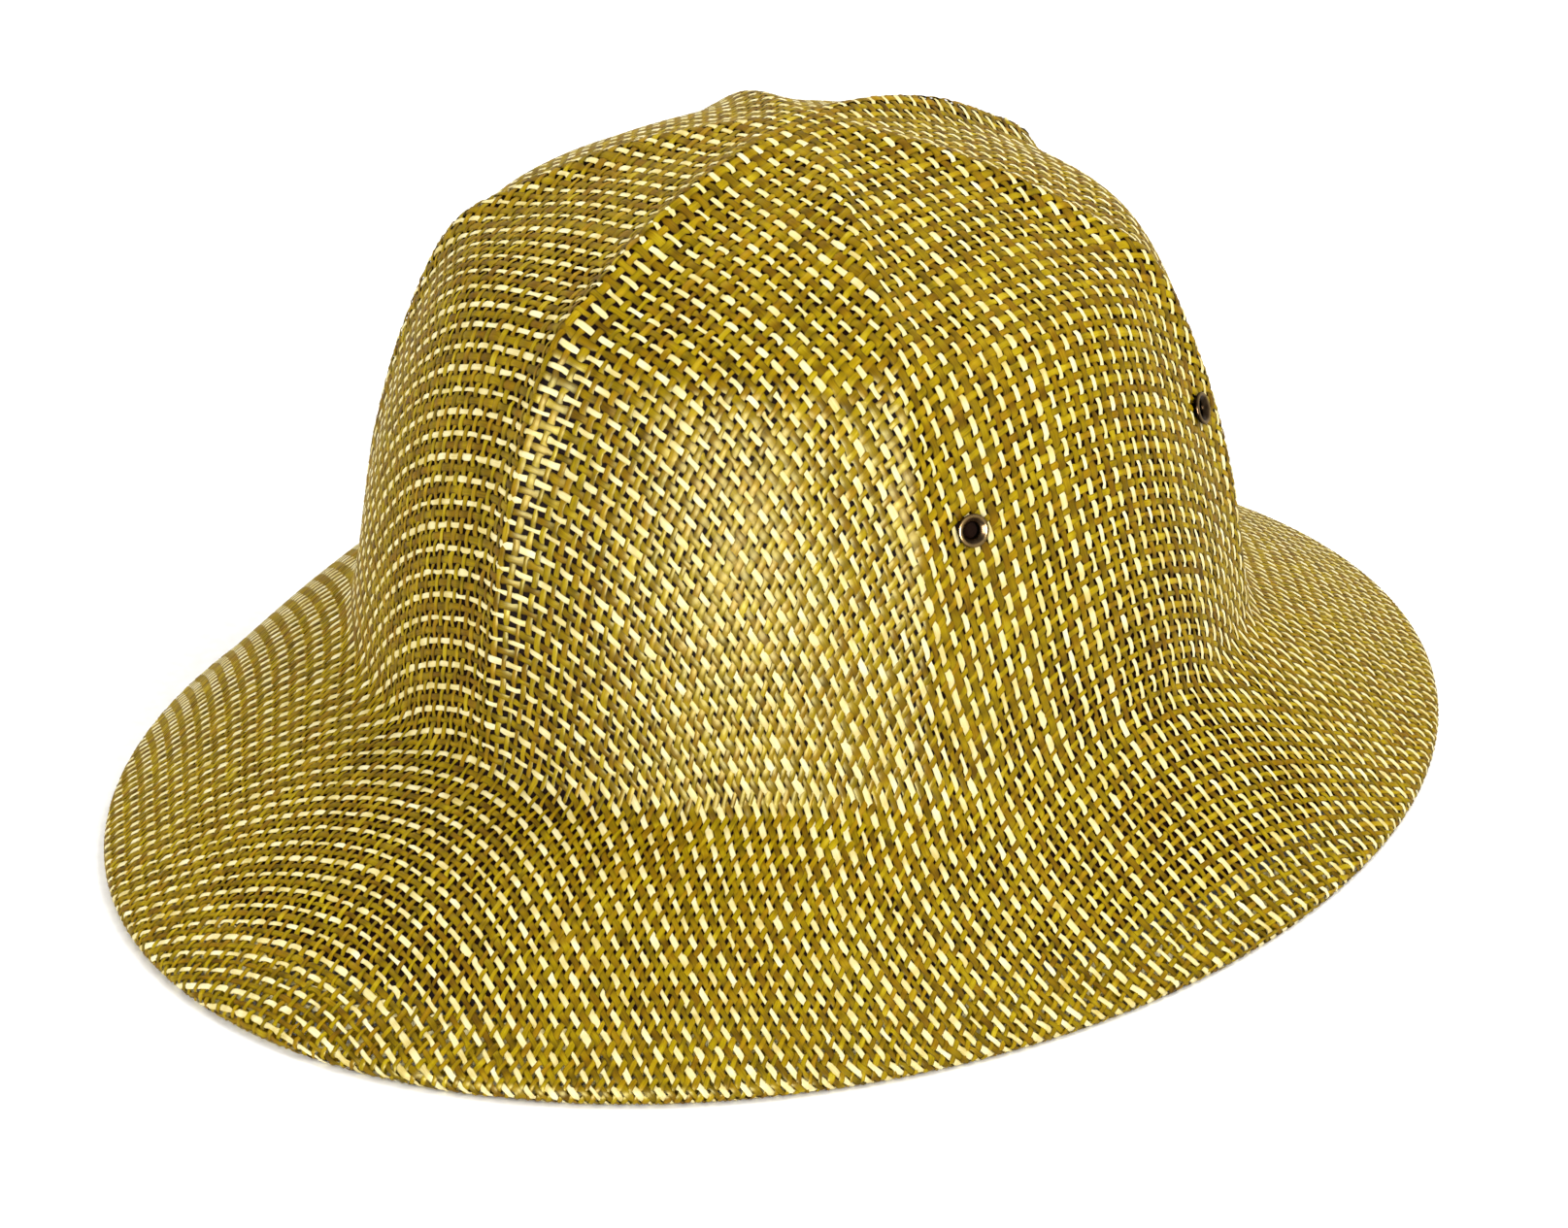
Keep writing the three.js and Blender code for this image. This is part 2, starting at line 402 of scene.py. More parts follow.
@dataclass(frozen=True)
class PulledCloth:
    """Where the flat cloth lands on the form after it was drawn over the block."""

    form: HelmetForm
    pull: tuple[PullRow, ...] = CLOTH_PULL
    angle_steps: int = 360
    place_steps: int = 30
    distance_steps: int = 900
    rounds: int = 45

    @cached_property
    def reach(self) -> np.ndarray:
        """Measure the form from the apex down.

        Returns:
            Distance from the apex to each place, by angle.
        """
        places = np.linspace(0, self.form.last, self.form.last * self.place_steps + 1)
        angles = np.linspace(0, 2 * math.pi, self.angle_steps + 1)
        points = self.form.oval(*np.meshgrid(places, angles, indexing="ij"))
        steps = np.linalg.norm(np.diff(points, axis=0), axis=-1)
        return np.vstack([np.zeros(len(angles)), np.cumsum(steps, axis=0)])

    @cached_property
    def places(self) -> np.ndarray:
        """Find places from distances, the reverse of reach.

        Returns:
            Place at each distance from the apex, by angle.
        """
        wanted = np.linspace(0, self.reach.max(), self.distance_steps)
        known = np.linspace(0, self.form.last, len(self.reach))
        return np.stack([np.interp(wanted, column, known) for column in self.reach.T], axis=1)

    def column(self, name: str, distance: np.ndarray) -> np.ndarray:
        """Read a column of the pull table smoothly between its rows.

        Args:
            name: Name of the column.
            distance: Distances from the apex.

        Returns:
            Values at the distances.
        """
        knots = np.array([row.distance for row in self.pull])
        values = np.array([getattr(row, name) for row in self.pull])
        slopes = np.gradient(values, knots)
        at = np.clip(distance, knots[0], knots[-1])
        k = np.clip(np.searchsorted(knots, at, side="right") - 1, 0, len(knots) - 2)
        width = knots[k + 1] - knots[k]
        t = (at - knots[k]) / width
        start = values[k] * (1 + 2 * t) * (1 - t) ** 2 + slopes[k] * width * t * (1 - t) ** 2
        return start + values[k + 1] * t * t * (3 - 2 * t) - slopes[k + 1] * width * t * t * (1 - t)

    def drawn(self, distance: np.ndarray, angle: np.ndarray) -> tuple[np.ndarray, np.ndarray]:
        """Say how far the cloth was drawn aside and out.

        Args:
            distance: Distances from the apex down the form.
            angle: Angles round the form.

        Returns:
            The turn of the cloth in radians and its stretch from the apex.
        """
        lean = (
            self.column("bias_lean", distance) * np.sin(4 * angle) / 4
            + self.column("oval_lean", distance) * np.sin(2 * angle) / 2
            + self.column("side_lean", distance) * np.sin(angle) ** 2
            + self.column("turn", distance)
        )
        bias = np.sin(2 * angle) ** 2
        return lean, 1 + self.column("stretch", distance) + self.column("bias_stretch", distance) * bias

    def unfold(self, distance: np.ndarray, angle: np.ndarray) -> tuple[np.ndarray, np.ndarray]:
        """Find the points of the flat cloth that lie at places of the form.

        Args:
            distance: Distances from the apex down the form.
            angle: Angles round the form.

        Returns:
            Places across and along the flat cloth.
        """
        lean, scale = self.drawn(distance, angle)
        return distance / scale * np.sin(angle - lean), -distance / scale * np.cos(angle - lean)

    def lay(self, u: np.ndarray, v: np.ndarray) -> tuple[np.ndarray, ...]:
        """Lay points of the flat cloth on the form.

        Args:
            u: Place across the cloth, towards the wearer's left.
            v: Place along the cloth, towards the back.

        Returns:
            Place, angle, distance from the apex, and what is left of it to the hem's cut edge.
        """
        flat = np.hypot(u, v)
        heading = np.arctan2(u, -v)
        angle = heading.copy()
        distance = flat.copy()
        for _ in range(self.rounds):
            lean, scale = self.drawn(distance, angle)
            angle = (angle + heading + lean) / 2
            distance = (distance + flat * scale) / 2
        column = np.mod(angle, 2 * math.pi) / (2 * math.pi) * self.angle_steps
        end = np.interp(column, np.arange(self.angle_steps + 1), self.reach[-1])
        row = np.clip(distance / self.reach.max(), 0, 1) * (self.distance_steps - 1)
        return interpolate(self.places, row, column), angle, distance, end - distance


@dataclass(frozen=True)
class StrawFinish:
    """Split straw, dyed or bleached and lacquered, pressed flat: fine fibres run along each strip.

    A strip has painted shade along its two edges, where a rounded strip turns from the light, changes
    tone from dash to dash, and is stained in longer patches. Lengths and the relief are in millimetres.
    """

    name: str
    tones: Tones
    stains: Tones
    roughness: float
    # Real fibres are about 0.1 mm wide, too fine to show, so three are drawn from middle to edge
    fibres_across: float = 3.0
    fibre_length: float = 7.0
    fibre_detail: float = 3.0
    fibre_contrast: float = 0.8
    fibre_relief: float = 0.05
    relief_strength: float = 0.55
    # Painted shade along each strip's edges: it starts this share of the way out and darkens the tone by this
    # much
    edge_shade_start: float = 0.55
    painted_edge_shade: float = 0.4
    dash_length: float = 4.2
    dash_contrast: float = 1.9
    stain_length: float = 6.0
    stain_from: float = 0.4
    stain_full: float = 0.65
    patch_detail: float = 1.0
    tone_shift: float = -0.8
    # Wide jumps give each strip its own fibres, dashes and stains
    strip_jumps: tuple[float, float, float] = (173.0, 311.0, 467.0)
    noise_roughness: float = 0.6
    roughness_spread: float = 0.09
    specular: float = 0.2
    specular_tint: str = "#FFF4A8"
    ior: float = 1.5

    def pattern(self, tree: bpy.types.NodeTree, grains: tuple[float, float, float],
                detail: float) -> bpy.types.Node:
        """Add a pattern that follows the strips.

        Args:
            tree: Node tree that takes the pattern.
            grains: Grains for each millimetre along a strip, grains from its middle to its edge, and
                the jump from strip to strip.
            detail: Octaves of its noise.

        Returns:
            The noise node at the pattern's end.
        """
        strip = add_node(tree, "ShaderNodeAttribute", {"attribute_name": "strip"})
        place = add_node(tree, "ShaderNodeVectorMath", {"operation": "MULTIPLY"}, {
            0: strip.outputs["Vector"], 1: grains})
        return add_node(tree, "ShaderNodeTexNoise", inputs={
            "Vector": place.outputs["Vector"], "Scale": 1.0, "Detail": detail,
            "Roughness": self.noise_roughness})

    def material(self) -> bpy.types.Material:
        """Make the node material.

        Returns:
            Straw whose tone changes along the fibres and from dash to dash, with painted shade along its
            edges.
        """
        material, tree, shader = new_material(self.name)
        fibre_jump, dash_jump, stain_jump = self.strip_jumps
        grain = self.pattern(
            tree, (1 / self.fibre_length, self.fibres_across, fibre_jump), self.fibre_detail)
        dashes = self.pattern(tree, (1 / self.dash_length, 0.0, dash_jump), self.patch_detail)
        stain = self.pattern(tree, (1 / self.stain_length, 0.0, stain_jump), self.patch_detail)
        strip = add_node(tree, "ShaderNodeAttribute", {"attribute_name": "strip"})
        across = add_node(tree, "ShaderNodeSeparateXYZ", inputs={0: strip.outputs["Vector"]})
        away = add_node(tree, "ShaderNodeMath", {"operation": "ABSOLUTE"}, {0: across.outputs["Y"]})
        # Painted shade: the tone drops towards each strip's two edges, where a rounded strip turns from the
        # light
        edge = add_node(tree, "ShaderNodeMapRange", inputs={
            "Value": away.outputs["Value"], "From Min": self.edge_shade_start,
            "To Min": self.tone_shift, "To Max": self.tone_shift - self.painted_edge_shade})
        fibres = add_node(tree, "ShaderNodeMath", {"operation": "MULTIPLY_ADD"}, {
            0: grain.outputs["Fac"], 1: self.fibre_contrast, 2: edge.outputs["Result"]})
        shade = add_node(tree, "ShaderNodeMath", {"operation": "MULTIPLY_ADD"}, {
            0: dashes.outputs["Fac"], 1: self.dash_contrast, 2: fibres.outputs["Value"]})
        tones = add_node(tree, "ShaderNodeValToRGB", inputs={"Fac": shade.outputs["Value"]})
        set_ramp(tones, self.tones)
        stains = add_node(tree, "ShaderNodeValToRGB", inputs={"Fac": shade.outputs["Value"]})
        set_ramp(stains, self.stains)
        share = add_node(tree, "ShaderNodeMapRange", inputs={
            "Value": stain.outputs["Fac"], "From Min": self.stain_from, "From Max": self.stain_full})
        colour = add_node(tree, "ShaderNodeMix", {"data_type": "RGBA"}, {
            "Factor": share.outputs["Result"], COLOUR_A: tones.outputs["Color"],
            COLOUR_B: stains.outputs["Color"]})
        rough = add_node(tree, "ShaderNodeMapRange", inputs={
            "Value": grain.outputs["Fac"], "To Min": self.roughness - self.roughness_spread,
            "To Max": self.roughness + self.roughness_spread})
        bump = add_node(tree, "ShaderNodeBump", inputs={
            "Height": grain.outputs["Fac"], "Strength": self.relief_strength,
            "Distance": self.fibre_relief * MM})
        for name, value in {"Base Color": colour.outputs[COLOUR_OUT], "Roughness": rough.outputs["Result"],
                            "Normal": bump.outputs["Normal"]}.items():
            tree.links.new(value, shader.inputs[name])
        shader.inputs["IOR"].default_value = self.ior
        shader.inputs["Specular IOR Level"].default_value = self.specular
        shader.inputs["Specular Tint"].default_value = linear(self.specular_tint)
        return material


# Dyed straw, lengthwise: olive gold with browner stains and a soft lacquer shine
OLIVE_STRAW = StrawFinish(
    "olive dyed straw",
    ((0.0, "#584800"), (0.3, "#796400"), (0.55, "#907900"), (0.8, "#A18904"), (1.0, "#B19B1E")),
    ((0.0, "#583D00"), (0.4, "#7B5A00"), (0.75, "#936F02"), (1.0, "#A68612")),
    roughness=0.36)
# Dyed straw, crosswise: the same dye on browner straw, which gives a darker gold
BROWN_STRAW = StrawFinish(
    "brown dyed straw",
    ((0.0, "#4A3A00"), (0.3, "#685300"), (0.55, "#7E6700"), (0.8, "#917900"), (1.0, "#A28C10")),
    ((0.0, "#483000"), (0.4, "#664800"), (0.75, "#7E5C00"), (1.0, "#927208")),
    roughness=0.36)
# Bleached straw: warm cream, close to white where the light meets it
CREAM_STRAW = StrawFinish(
    "bleached straw",
    ((0.0, "#C4B068"), (0.35, "#D6C78C"), (0.65, "#E0D4A2"), (1.0, "#EAE1BA")),
    ((0.0, "#BAA454"), (0.4, "#CEBD7A"), (0.75, "#DACD94"), (1.0, "#E4D8AC")),
    roughness=0.42)


@dataclass(frozen=True)
class InnerFaceFinish:
    """The cloth's inner face, pressed smooth: the weave shows inside, and its outer side is dark painted
    shade.
    """

    name: str = "sized straw cloth"
    # Painted shade: near black, over the whole outer side and between the strips inside
    painted_gap_shade: str = "#1C0C04"
    tan: str = "#7C6208"
    cream: str = "#CDBC7C"
    edge_blur: float = 0.1
    relief: float = 0.3
    relief_strength: float = 0.6
    blotch: float = 6.0
    blotch_detail: float = 4.0
    faded: float = 0.75
    fresh: float = 1.05
    roughness: float = 0.7
    specular: float = 0.03

    def material(self, pitches: tuple[float, float], widths: tuple[float, float]) -> bpy.types.Material:
        """Make the node material.

        Args:
            pitches: Spacing of the strips, lengthwise and crosswise.
            widths: Widths of the strips, lengthwise and crosswise.

        Returns:
            The weave as a flat image inside, with painted shade between the strips, and painted shade
            outside.
        """
        material, tree, shader = new_material(self.name)
        cloth = add_node(tree, "ShaderNodeAttribute", {"attribute_name": "cloth"})
        scaled = add_node(tree, "ShaderNodeVectorMath", {"operation": "DIVIDE"}, {
            0: cloth.outputs["Vector"], 1: (*pitches, 1.0)})
        count = add_node(tree, "ShaderNodeSeparateXYZ", inputs={0: scaled.outputs["Vector"]})
        # Each offset is 0 on the middle line of a strip and 1 at its edge
        offsets = []
        for axis, pitch, width in zip("XY", pitches, widths):
            wave = add_node(tree, "ShaderNodeMath", {"operation": "PINGPONG"}, {
                0: count.outputs[axis], 1: 0.5})
            offsets.append(add_node(tree, "ShaderNodeMapRange", {"clamp": False}, {
                "Value": wave.outputs["Value"], "From Min": 0.5, "From Max": 0.5 - width / pitch / 2}))
        crossing = add_node(tree, "ShaderNodeTexChecker", inputs={
            "Vector": scaled.outputs["Vector"], "Scale": 1.0})
        turn = add_node(tree, "ShaderNodeMath", {"operation": "FLOORED_MODULO"}, {
            0: count.outputs["Y"], 1: 2.0})
        light = add_node(tree, "ShaderNodeMath", {"operation": "LESS_THAN"}, {
            0: turn.outputs["Value"], 1: 1.0})
        crosswise = add_node(tree, "ShaderNodeMix", {"data_type": "RGBA"}, {
            "Factor": light.outputs["Value"], COLOUR_A: linear(self.tan), COLOUR_B: linear(self.cream)})
        strips = add_node(tree, "ShaderNodeMix", {"data_type": "RGBA"}, {
            "Factor": crossing.outputs["Fac"], COLOUR_A: crosswise.outputs[COLOUR_OUT],
            COLOUR_B: linear(self.tan)})
        edge = add_node(tree, "ShaderNodeMix", inputs={
            "Factor": crossing.outputs["Fac"], VALUE_A: offsets[1].outputs["Result"],
            VALUE_B: offsets[0].outputs["Result"]})
        shown = add_node(tree, "ShaderNodeMapRange", inputs={
            "Value": edge.outputs[VALUE_OUT], "From Min": 1 + self.edge_blur, "From Max": 1 - self.edge_blur})
        inside = add_node(tree, "ShaderNodeMath", {"operation": "MULTIPLY"}, {
            0: shown.outputs["Result"], 1: count.outputs["Z"]})
        blotches = add_node(tree, "ShaderNodeTexNoise", inputs={
            "Vector": cloth.outputs["Vector"], "Scale": 1 / self.blotch, "Detail": self.blotch_detail})
        worn = add_node(tree, "ShaderNodeMapRange", inputs={
            "Value": blotches.outputs["Fac"], "To Min": self.faded, "To Max": self.fresh})
        # Painted shade shows where this share is low: between the strips, on the outer side, and partly in
        # faded blotches
        sized_and_painted_shade = add_node(tree, "ShaderNodeMath", {"operation": "MULTIPLY"}, {
            0: inside.outputs["Value"], 1: worn.outputs["Result"]})
        colour = add_node(tree, "ShaderNodeMix", {"data_type": "RGBA"}, {
            "Factor": sized_and_painted_shade.outputs["Value"], COLOUR_A: linear(self.painted_gap_shade),
            COLOUR_B: strips.outputs[COLOUR_OUT]})
        bump = add_node(tree, "ShaderNodeBump", inputs={
            "Height": inside.outputs["Value"], "Strength": self.relief_strength,
            "Distance": self.relief * MM})
        tree.links.new(colour.outputs[COLOUR_OUT], shader.inputs["Base Color"])
        tree.links.new(bump.outputs["Normal"], shader.inputs["Normal"])
        shader.inputs["Roughness"].default_value = self.roughness
        shader.inputs["Specular IOR Level"].default_value = self.specular
        return material


# Straw cloth stiffened with glue size: dull, tan and cream inside, with near-black painted shade behind the
# gaps
SIZED_CLOTH_AND_GAP_SHADE = InnerFaceFinish()


@dataclass(frozen=True)
class BrassFinish:
    """Stamped brass with an antique brown tarnish that is rubbed bright on its raised edges."""

    name: str = "antique brass"
    tones: Tones = ((0.1, "#1E140B"), (0.6, "#66523A"), (0.95, "#A88A58"))
    blotch: float = 1.4
    blotch_detail: float = 4.0
    blotch_contrast: float = 0.25
    smoothest: float = 0.18
    roughest: float = 0.38
    relief: float = 0.04
    relief_strength: float = 0.2

    def material(self) -> bpy.types.Material:
        """Make the node material.

        Returns:
            Tarnished metal with blotches, brighter where it is rubbed.
        """
        material, tree, shader = new_material(self.name)
        place = add_node(tree, "ShaderNodeTexCoord")
        blotches = add_node(tree, "ShaderNodeTexNoise", inputs={
            "Vector": place.outputs["Object"], "Scale": 1 / (self.blotch * MM),
            "Detail": self.blotch_detail})
        rub = add_node(tree, "ShaderNodeAttribute", {"attribute_name": "rub"})
        patches = add_node(tree, "ShaderNodeMapRange", inputs={
            "Value": blotches.outputs["Fac"], "To Min": -self.blotch_contrast,
            "To Max": self.blotch_contrast})
        blend = add_node(tree, "ShaderNodeMath", {"operation": "ADD", "use_clamp": True}, {
            0: patches.outputs["Result"], 1: rub.outputs["Fac"]})
        ramp = add_node(tree, "ShaderNodeValToRGB", inputs={"Fac": blend.outputs["Value"]})
        set_ramp(ramp, self.tones)
        rough = add_node(tree, "ShaderNodeMapRange", inputs={
            "Value": blotches.outputs["Fac"], "To Min": self.smoothest, "To Max": self.roughest})
        bump = add_node(tree, "ShaderNodeBump", inputs={
            "Height": blotches.outputs["Fac"], "Strength": self.relief_strength,
            "Distance": self.relief * MM})
        for name, value in {"Base Color": ramp.outputs["Color"], "Roughness": rough.outputs["Result"],
                            "Normal": bump.outputs["Normal"]}.items():
            tree.links.new(value, shader.inputs[name])
        shader.inputs["Metallic"].default_value = 1.0
        return material


# Stamped brass left to tarnish: dark brown in the funnel, soft bright glints on the rolled rim
ANTIQUE_BRASS = BrassFinish()


@dataclass(frozen=True)
class PaperFinish:
    """Matt white studio paper with a faint tooth."""

    name: str = "studio paper"
    tones: Tones = ((0.3, "#F4F3F0"), (0.7, "#FBFAF8"))
    # A real tooth is well under a millimetre, too fine to show, so it is drawn coarser
    tooth: float = 3.0
    tooth_detail: float = 3.0
    roughness: float = 0.85

    def material(self) -> bpy.types.Material:
        """Make the node material.

        Returns:
            Pale matt paper.
        """
        material, tree, shader = new_material(self.name)
        place = add_node(tree, "ShaderNodeTexCoord")
        cloud = add_node(tree, "ShaderNodeTexNoise", inputs={
            "Vector": place.outputs["Object"], "Scale": 1 / (self.tooth * MM),
            "Detail": self.tooth_detail})
        ramp = add_node(tree, "ShaderNodeValToRGB", inputs={"Fac": cloud.outputs["Fac"]})
        set_ramp(ramp, self.tones)
        tree.links.new(ramp.outputs["Color"], shader.inputs["Base Color"])
        shader.inputs["Roughness"].default_value = self.roughness
        return material


# Matt paper: an even white that takes a soft shadow
STUDIO_PAPER = PaperFinish()


def new_piece(name: str, vertices: np.ndarray, faces: list[np.ndarray],
              material: bpy.types.Material) -> bpy.types.Object:
    """Make a mesh object from arrays.

    Args:
        name: Name of the piece.
        vertices: Points in millimetres.
        faces: Arrays of vertex numbers, one for each number of corners.
        material: Material of the piece.

    Returns:
        The object, smooth shaded and linked to the scene.
    """
    mesh = bpy.data.meshes.new(name)
    mesh.vertices.add(len(vertices))
    mesh.vertices.foreach_set("co", (vertices * MM).astype(np.float32).ravel())
    corners = np.concatenate([block.ravel() for block in faces])
    totals = np.concatenate([np.full(len(block), block.shape[1]) for block in faces])
    mesh.loops.add(len(corners))
    mesh.loops.foreach_set("vertex_index", corners.astype(np.int32))
    mesh.polygons.add(len(totals))
    mesh.polygons.foreach_set("loop_start", np.r_[0, np.cumsum(totals)[:-1]].astype(np.int32))
    mesh.polygons.foreach_set("use_smooth", np.ones(len(totals), bool))
    mesh.update(calc_edges=True)
    mesh.validate()
    mesh.materials.append(material)
    piece = bpy.data.objects.new(name, mesh)
    bpy.context.scene.collection.objects.link(piece)
    return piece


def report(piece: bpy.types.Object) -> None:
    """Log a finished piece with its count of triangles."""
    triangles = sum(len(p.vertices) - 2 for p in piece.data.polygons)
    log.info("%s: %d triangles", piece.name, triangles)


@dataclass(frozen=True)
class TurnedCorner:
    """One corner of a turned section, out and up from a given radius and level, and its rubbed share."""

    out: float
    up: float
    rub: float = 0.0


# From the hole's radius and the flange's top
FUNNEL = (
    TurnedCorner(0.92, -0.36, 0.35),
    TurnedCorner(0.55, -0.6, 0.3),
    TurnedCorner(0.18, -1.0, 0.25),
    TurnedCorner(0, -1.5),
)
# From the hole's radius and the back flange's face
THROAT_END = (
    TurnedCorner(0, 0.2),
    TurnedCorner(0.15, 0, 0.3),
)
# From the back flange's radius and face
BACK_EDGE = (
    TurnedCorner(-0.25, 0, 0.5),
    TurnedCorner(-0.07, 0.08, 0.5),
    TurnedCorner(0, 0.3, 0.4),
)


@dataclass(frozen=True)
class VentEyelet:
    """A two-part brass eyelet: barrel with a rolled flange outside and a flat one inside."""

    name: str
    degrees: float
    height: float = 93.4
    wall: float = 2.0
    clearance: float = 0.3
    hole_radius: float = 1.65
    barrel_radius: float = 2.4
    flange_radius: float = 3.6
    flange_height: float = 0.95
    back_radius: float = 3.3
    back_height: float = 0.6
    back_taper: float = 0.1
    funnel: tuple[TurnedCorner, ...] = FUNNEL
    throat_end: tuple[TurnedCorner, ...] = THROAT_END
    back_edge: tuple[TurnedCorner, ...] = BACK_EDGE
    punched_radius: float = 3.1
    punched_depth: float = 6.0
    roll_degrees: tuple[float, float] = (-90.0, 140.0)
    roll_steps: int = 16
    sides: int = 72

    @property
    def profile(self) -> np.ndarray:
        """Trace the turned section once round.

        Returns:
            Radius, height and rubbed share of each corner.
        """
        back = -self.wall - self.clearance
        deep = back - self.back_height
        foot = self.clearance
        top = foot + self.flange_height
        roll = self.flange_height / 2
        section = []
        for turn in np.radians(np.linspace(*self.roll_degrees, self.roll_steps)):
            radius = self.flange_radius - roll + roll * math.cos(turn)
            section.append((radius, foot + roll + roll * math.sin(turn), max(0.0, math.sin(turn))))
        for corners, radius, level in ((self.funnel, self.hole_radius, top),
                                       (self.throat_end, self.hole_radius, deep),
                                       (self.back_edge, self.back_radius, deep)):
            section += [(radius + corner.out, level + corner.up, corner.rub) for corner in corners]
        section += [(self.back_radius - self.back_taper, back, 0.0),
                    (self.barrel_radius, back, 0.0), (self.barrel_radius, foot, 0.0)]
        return np.array(section)

    def build(self, form: HelmetForm, finish: BrassFinish) -> bpy.types.Object:
        """Turn the eyelet and seat it on the crown.

        Args:
            form: Form that carries the eyelet.
            finish: Finish of the metal.

        Returns:
            The eyelet, which stands for its solid.
        """
        point, normal = form.seat(self.height, self.degrees)
        side = unit(np.cross(normal, (0.0, 0.0, 1.0)))
        up = np.cross(side, normal)
        turns = np.linspace(0, 2 * math.pi, self.sides, endpoint=False)
        ring = np.cos(turns)[:, None] * side + np.sin(turns)[:, None] * up
        section = self.profile
        vertices = point + section[:, 0, None, None] * ring + section[:, 1, None, None] * normal
        count = len(section)
        rows, columns = np.meshgrid(np.arange(count), np.arange(self.sides), indexing="ij")
        after, beside = (rows + 1) % count, (columns + 1) % self.sides
        faces = np.stack([rows * self.sides + columns, rows * self.sides + beside,
                          after * self.sides + beside, after * self.sides + columns], axis=-1)
        piece = new_piece(
            self.name + "_turned", vertices.reshape(-1, 3), [faces.reshape(-1, 4)], finish.material())
        rub = piece.data.attributes.new("rub", "FLOAT", "POINT")
        rub.data.foreach_set("value", np.repeat(section[:, 2], self.sides).astype(np.float32))
        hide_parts(self.name)
        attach(piece, BODY)
        return piece


@dataclass
class StripRun:
    """Points along the strips of one family, laid on the form, with what each point needs."""

    centre: np.ndarray
    normal: np.ndarray
    along: np.ndarray
    strip: np.ndarray
    lift: np.ndarray
    half_width: np.ndarray
    shade: np.ndarray
    joined: np.ndarray

    def ribbons(self, pick: np.ndarray,
                thickness: float) -> tuple[np.ndarray, list[np.ndarray], np.ndarray]:
        """Turn the picked strips into closed ribbons with a low ridge on their outer side.

        Args:
            pick: Which points belong to the piece.
            thickness: Thickness of a strip at its ridge.

        Returns:
            Vertices, faces, and marks of each vertex: its place along the strip, its share of the way
            from the middle to an edge, and the strip's shade.
        """
        linked = self.joined & pick[:-1] & pick[1:]
        kept = np.zeros(len(pick), bool)
        kept[:-1] |= linked
        kept[1:] |= linked
        number = np.cumsum(kept) - 1
        ahead = np.r_[linked, False][kept]
        behind = np.r_[False, linked][kept]
        centre, normal = self.centre[kept], self.normal[kept]
        later = np.where(ahead[:, None], np.roll(centre, -1, axis=0), centre)
        earlier = np.where(behind[:, None], np.roll(centre, 1, axis=0), centre)
        right = unit(np.cross(later - earlier, normal))
        half = self.half_width[kept][:, None]
        low = centre + normal * (self.lift[kept][:, None] - thickness / 2)
        ring = np.stack([low - right * half, low + normal * thickness, low + right * half], axis=1)
        step = RIBBON_CORNERS
        first = number[:-1][linked] * step
        left, ridge, far = first, first + RIDGE_CORNER, first + 2
        quads = np.concatenate([
            np.stack([left, ridge, ridge + step, left + step], axis=1),
            np.stack([ridge, far, far + step, ridge + step], axis=1),
            np.stack([far, left, left + step, far + step], axis=1)])
        starts = np.flatnonzero(ahead & ~behind) * step
        ends = np.flatnonzero(behind & ~ahead) * step
        caps = np.concatenate([
            np.stack([starts, starts + 2, starts + RIDGE_CORNER], axis=1),
            np.stack([ends, ends + RIDGE_CORNER, ends + 2], axis=1)])
        across = np.broadcast_to([-1.0, 0.0, 1.0], (len(half), step))
        marks = np.stack([np.repeat(self.along[kept][:, None], step, axis=1), across,
                          np.repeat(self.shade[kept][:, None], step, axis=1)], axis=-1)
        return ring.reshape(-1, 3), [quads, caps], marks.reshape(-1, 3)


